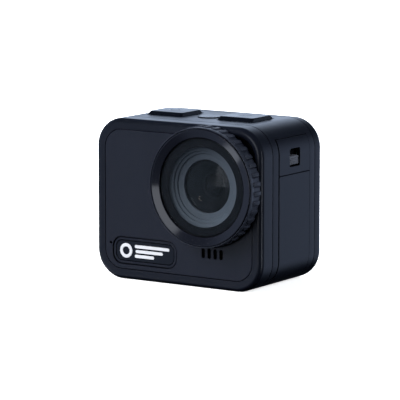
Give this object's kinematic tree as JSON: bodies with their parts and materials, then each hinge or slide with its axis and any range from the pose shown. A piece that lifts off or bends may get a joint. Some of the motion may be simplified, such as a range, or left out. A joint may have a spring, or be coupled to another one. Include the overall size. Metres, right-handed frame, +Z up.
{
  "type": "action camera",
  "caption": "Compact boxy waterproof action camera with a knurled twist-on round lens cover, raised top buttons, side battery door with slide latch, and a rear screen.",
  "frame": {"origin": "centre of the bounding box in plan, at the height of the base the camera stands on", "axes": "+X to the right when facing the lens, -Y out of the lens, +Z up"},
  "size_m": [0.062, 0.042, 0.0525],
  "materials": {
    "housing_black": "fine moulded grain, blue-black",
    "panel_black": "fine moulded grain, a little darker",
    "grip_black": "satin moulded",
    "ring_gloss": "glossy turned chamfer",
    "gloss_black": "gloss",
    "emblem_white": "smooth white",
    "baffle_grey": "matt anti-glare",
    "glass": "clear coated",
    "lens_glass": "dark coated lens",
    "seal_rubber": "soft matt",
    "steel": "satin",
    "brass": "machined",
    "aluminium": "satin",
    "board_green": "solder mask",
    "chip_black": "moulded",
    "battery_wrap": "wrapped cell"
  },
  "bodies": {
    "camera_body": {"front_housing": "housing_black", "middle_housing": "housing_black", "rear_housing": "housing_black", "latch_cover": "housing_black", "lens_mount": "housing_black", "front_panel": "panel_black", "badge_plate": "gloss_black", "display_glass": "gloss_black", "status_window": "gloss_black", "badge_emblem": "emblem_white", "front_light": "emblem_white", "status_light": "emblem_white", "lens_baffle": "baffle_grey", "front_element": "lens_glass", "rear_lens_group": "lens_glass", "front_seal": "seal_rubber", "rear_seal": "seal_rubber", "record_button_seal": "seal_rubber", "power_button_seal": "seal_rubber", "microphone_mesh": "steel", "record_switch": "steel", "power_switch": "steel", "door_hinge_pin": "steel", "latch_spring": "steel", "usb_port": "steel", "card_socket": "steel", "board_screw_1": "steel", "board_screw_2": "steel", "board_screw_3": "steel", "board_screw_4": "steel", "battery_contacts": "brass", "tripod_bushing": "brass", "heat_spreader": "aluminium", "sensor_board": "board_green", "button_board": "board_green", "main_board": "board_green", "microphone": "chip_black", "lens_barrel": "chip_black", "lens_holder": "chip_black", "image_sensor": "chip_black", "display_module": "chip_black", "processor": "chip_black", "speaker": "chip_black", "battery_tray": "chip_black", "battery": "battery_wrap"},
    "lens_cover": {"grip_ring": "grip_black", "ring_trim": "ring_gloss", "cover_glass": "glass", "glass_mask": "gloss_black", "glass_seal": "seal_rubber"},
    "record_key": {"record_button": "grip_black"},
    "power_key": {"power_button": "grip_black"},
    "latch": {"latch_slider": "grip_black"},
    "door": {"battery_door": "housing_black", "door_seal": "seal_rubber"},
    "card": {"memory_card": "chip_black"}
  },
  "joints": [
    {"name": "lens_cover_twist", "type": "hinge", "parent": "camera_body", "child": "lens_cover", "pos_m": [0.0119, -0.01553, 0.0325], "axis": [0, -1, 0], "range_deg": [0, 45]},
    {"name": "record_press", "type": "slide", "parent": "camera_body", "child": "record_key", "axis": [0, 0, -1], "range_m": [0, 0.0006], "stiffness_N_per_m": 2000},
    {"name": "power_press", "type": "slide", "parent": "camera_body", "child": "power_key", "axis": [0, 0, -1], "range_m": [0, 0.0006], "stiffness_N_per_m": 2000},
    {"name": "latch_slide", "type": "slide", "parent": "camera_body", "child": "latch", "axis": [0, 0, 1], "range_m": [0, 0.0018], "stiffness_N_per_m": 150, "springref_m": -0.002, "deforming": ["latch_spring"]},
    {"name": "door_swing", "type": "hinge", "parent": "camera_body", "child": "door", "pos_m": [0.0195, 0.00298, 0.0009], "axis": [0, 1, 0], "range_deg": [0, 95]},
    {"name": "card_press", "type": "slide", "parent": "camera_body", "child": "card", "axis": [-1, 0, 0], "range_m": [0, 0.001], "stiffness_N_per_m": 500}
  ]
}
